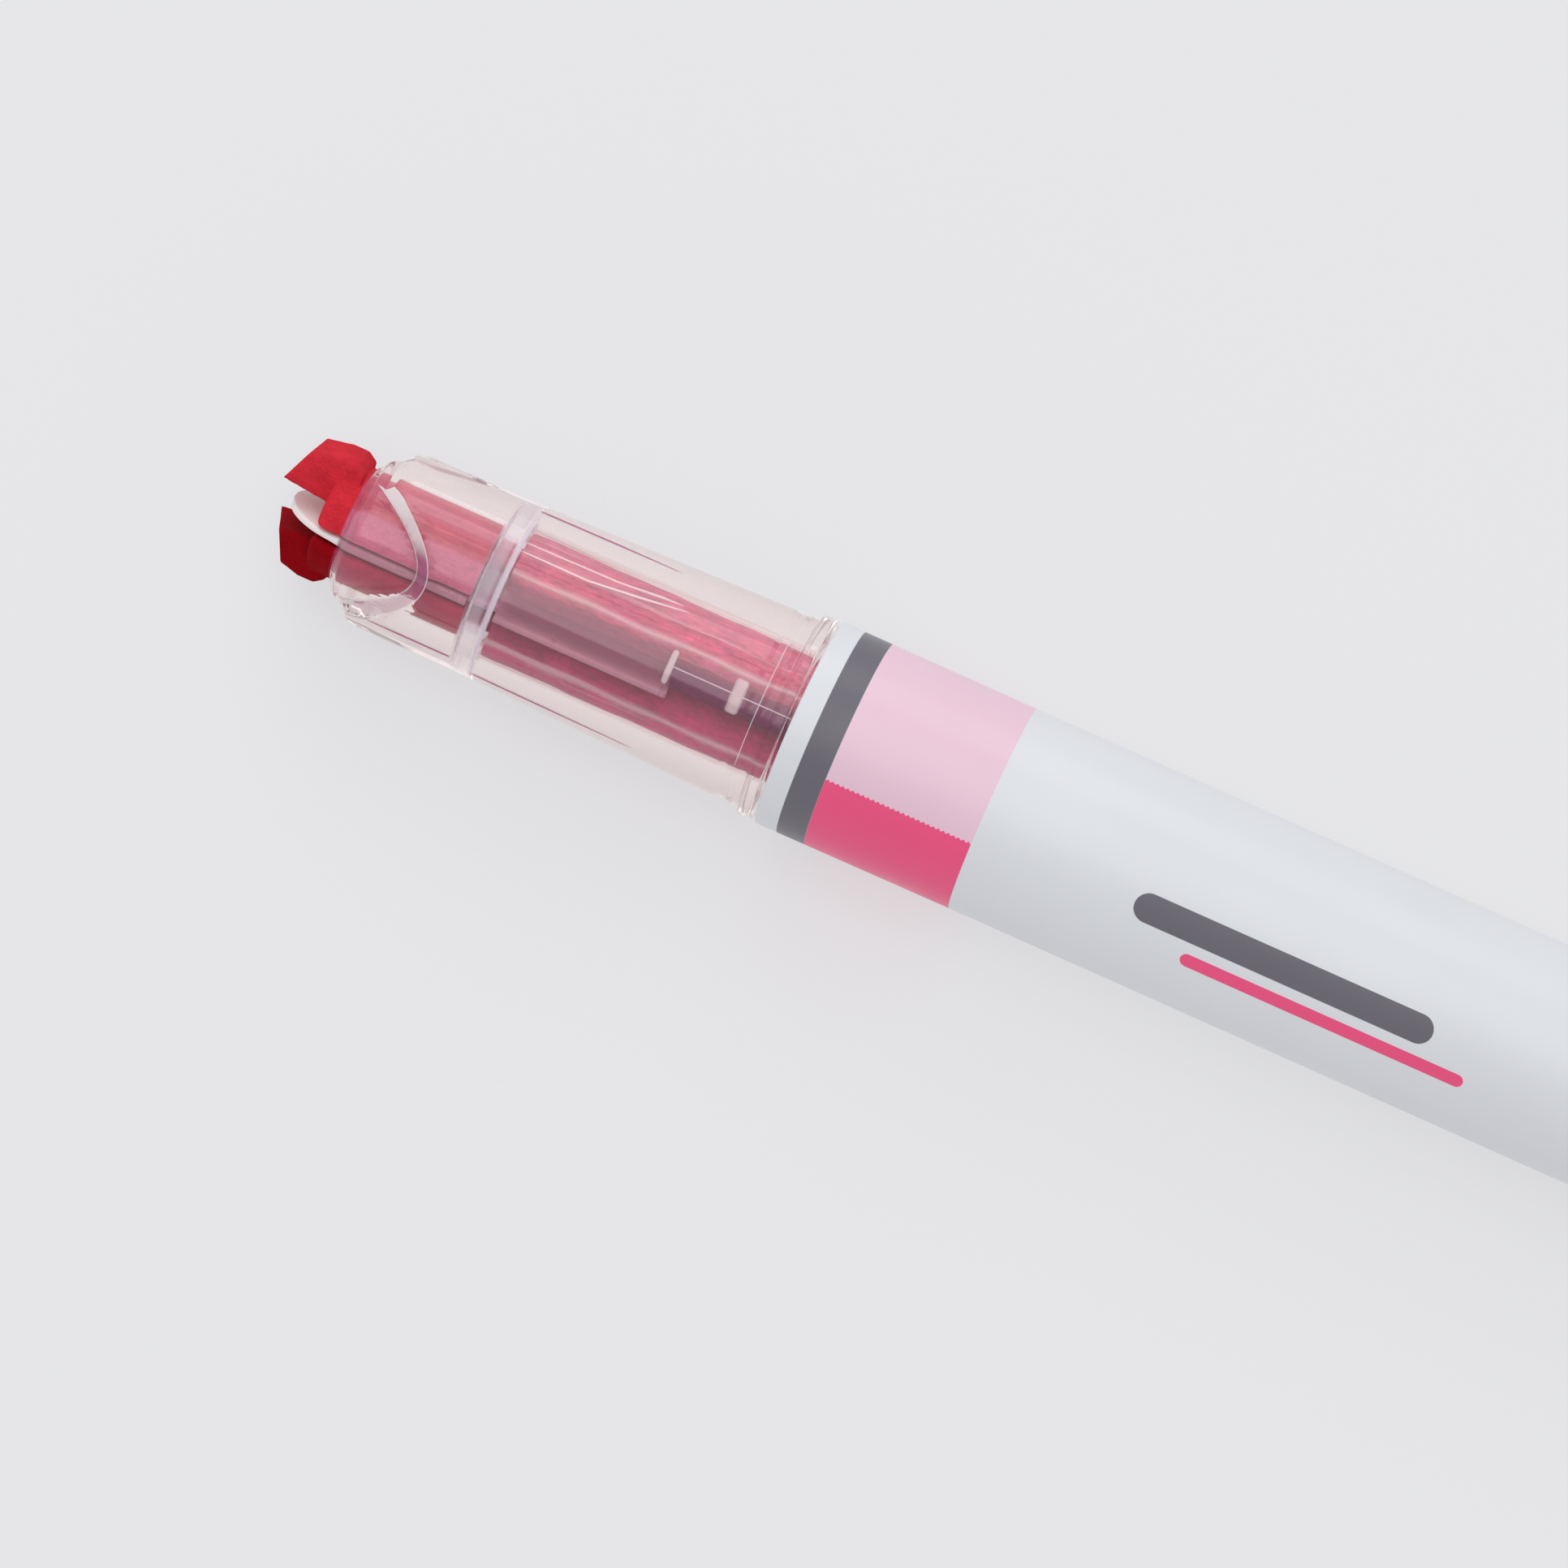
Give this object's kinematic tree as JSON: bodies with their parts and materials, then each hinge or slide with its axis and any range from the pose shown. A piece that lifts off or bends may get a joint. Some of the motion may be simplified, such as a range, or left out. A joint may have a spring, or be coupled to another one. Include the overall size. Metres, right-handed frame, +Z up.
{
  "type": "highlighter",
  "caption": "Round highlighter with two side-by-side chisel nibs in a clear holder, a white barrel and a clip cap pushed onto the tail.",
  "frame": {"origin": "on the table, under the middle of the pen's length", "axes": "+X along the pen from the nibs to the cap's crown, +Z up from the table, +Y to the side away from the clip"},
  "size_m": [0.152, 0.015, 0.014],
  "materials": {
    "white_plastic": "moulded, satin gloss, with printed bands at the collar",
    "clear_plastic": "clear moulded plastic with a faint warm tint, polished",
    "milky_plastic": "milky, slightly see-through",
    "light_felt": "bonded felt, wet with light pink ink",
    "dark_felt": "bonded felt, wet with dark pink ink",
    "light_fibre": "bundled fibre soaked with light pink ink",
    "dark_fibre": "bundled fibre soaked with dark pink ink",
    "reservoir_film": "thin glossy film with long soft wrinkles",
    "soft_plastic": "soft sealing plastic"
  },
  "bodies": {
    "barrel_body": {"barrel": "white_plastic", "tail_plug": "white_plastic", "nib_holder": "clear_plastic", "separator_plate": "milky_plastic", "light_nib": "light_felt", "dark_nib": "dark_felt", "light_reservoir": "light_fibre", "dark_reservoir": "dark_fibre", "light_reservoir_film": "reservoir_film", "dark_reservoir_film": "reservoir_film"},
    "cap_body": {"cap_shell": "white_plastic", "inner_cap": "soft_plastic"},
    "clip_body": {"clip": "white_plastic"}
  },
  "joints": [
    {"name": "cap_slide", "type": "slide", "parent": "barrel_body", "child": "cap_body", "axis": [1, 0, 0], "range_m": [0, 0.025]},
    {"name": "clip_flex", "type": "hinge", "parent": "cap_body", "child": "clip_body", "pos_m": [0.0737, -0.0048, 0.0032], "axis": [0, -0.6211, 0.7837], "range_deg": [0, 4], "stiffness_Nm_per_rad": 0.01}
  ]
}
